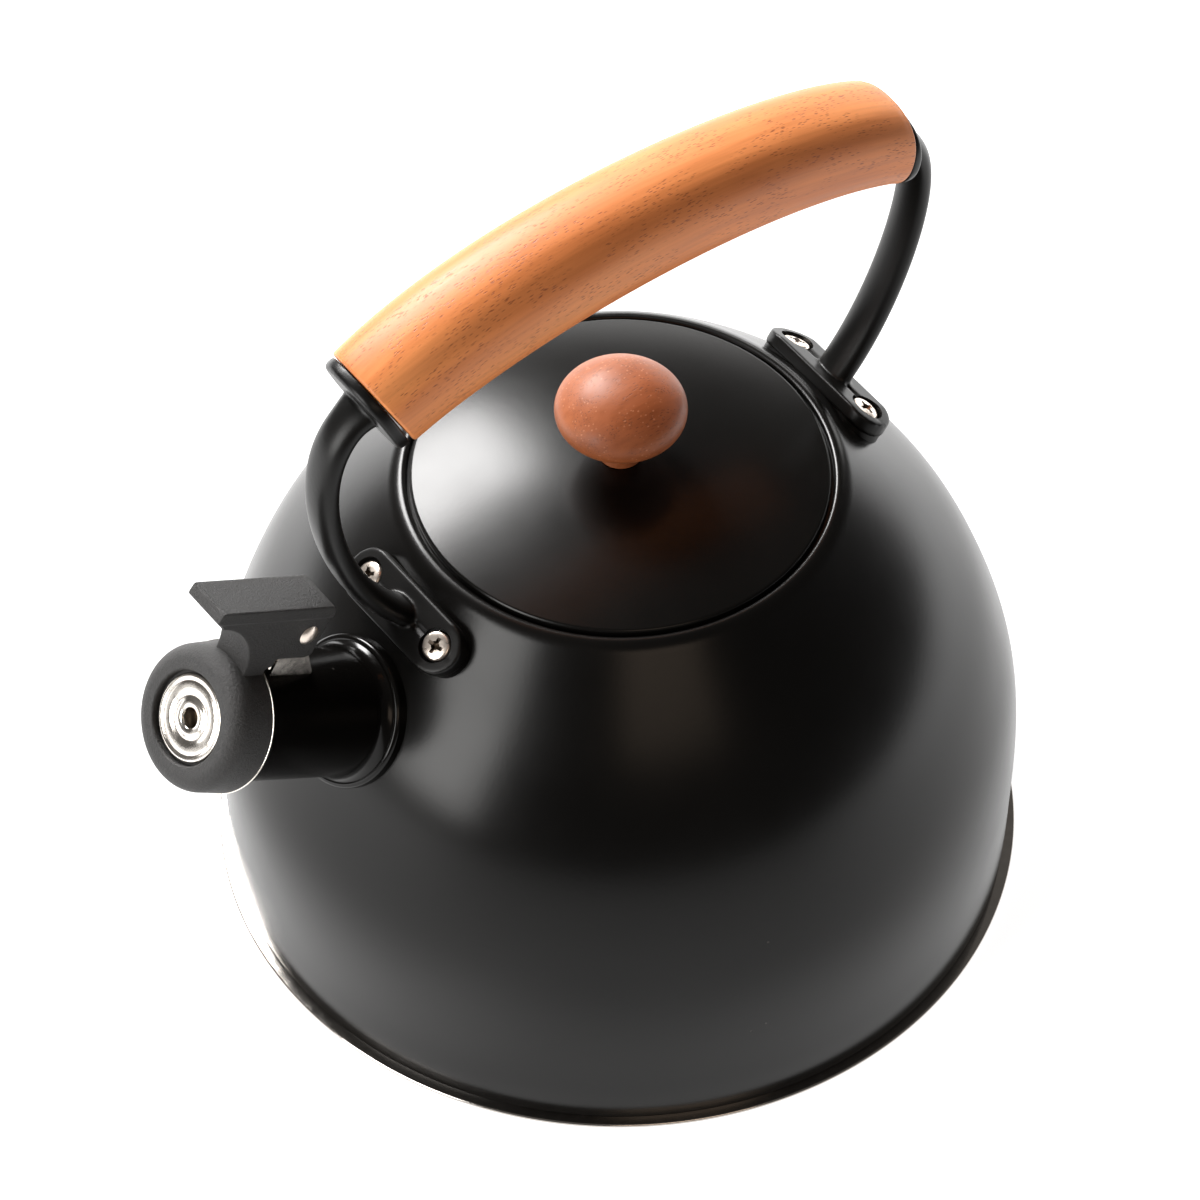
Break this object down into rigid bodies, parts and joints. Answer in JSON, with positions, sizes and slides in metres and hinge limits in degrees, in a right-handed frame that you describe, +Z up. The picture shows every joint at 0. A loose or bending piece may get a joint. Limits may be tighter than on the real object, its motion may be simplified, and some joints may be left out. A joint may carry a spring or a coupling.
{
  "type": "stovetop kettle",
  "caption": "Stovetop whistling kettle: domed black steel body, lift-off lid with wooden knob, hinged whistle cap on the spout and fixed arched wooden handle.",
  "frame": {"origin": "centre of the base, on the surface the kettle stands on", "axes": "+Z up, +X towards the spout, XZ the plane of symmetry"},
  "size_m": [0.2563, 0.2212, 0.2456],
  "materials": {
    "black_paint": "satin",
    "polished_steel": "polished",
    "aluminium": "satin",
    "black_plastic": "fine texture",
    "wood_grip": "satin",
    "wood_knob": "satin",
    "silicone": "matte"
  },
  "bodies": {
    "kettle": {"body_shell": "black_paint", "filler_neck": "black_paint", "base_pan": "polished_steel", "heat_spreader": "aluminium", "base_cover": "polished_steel", "spout_tube": "black_paint", "spout_collar": "black_paint", "hinge_bracket": "polished_steel", "hinge_pin": "polished_steel", "hinge_spring": "polished_steel", "front_bracket": "black_paint", "front_arm": "black_paint", "front_foot_screws": "polished_steel", "front_grip_stud": "polished_steel", "rear_bracket": "black_paint", "rear_arm": "black_paint", "rear_foot_screws": "polished_steel", "rear_grip_stud": "polished_steel", "handle_grip": "wood_grip"},
    "spout_cap": {"cap_body": "black_plastic", "cap_liner": "polished_steel", "whistle_face": "polished_steel", "whistle_back": "polished_steel", "cap_seal": "silicone"},
    "lid": {"lid_shell": "black_paint", "lid_skirt": "polished_steel", "lid_knob": "wood_knob", "knob_washer": "polished_steel", "knob_screw": "polished_steel"}
  },
  "joints": [
    {"name": "cap_hinge", "type": "hinge", "parent": "kettle", "child": "spout_cap", "pos_m": [0.10287, 0, 0.15111], "axis": [0, -1, 0], "range_deg": [0, 53], "stiffness_Nm_per_rad": 0.03, "springref_deg": -22.92},
    {"name": "lid_lift", "type": "slide", "parent": "kettle", "child": "lid", "axis": [0, 0, 1], "range_m": [0, 0.04]}
  ]
}
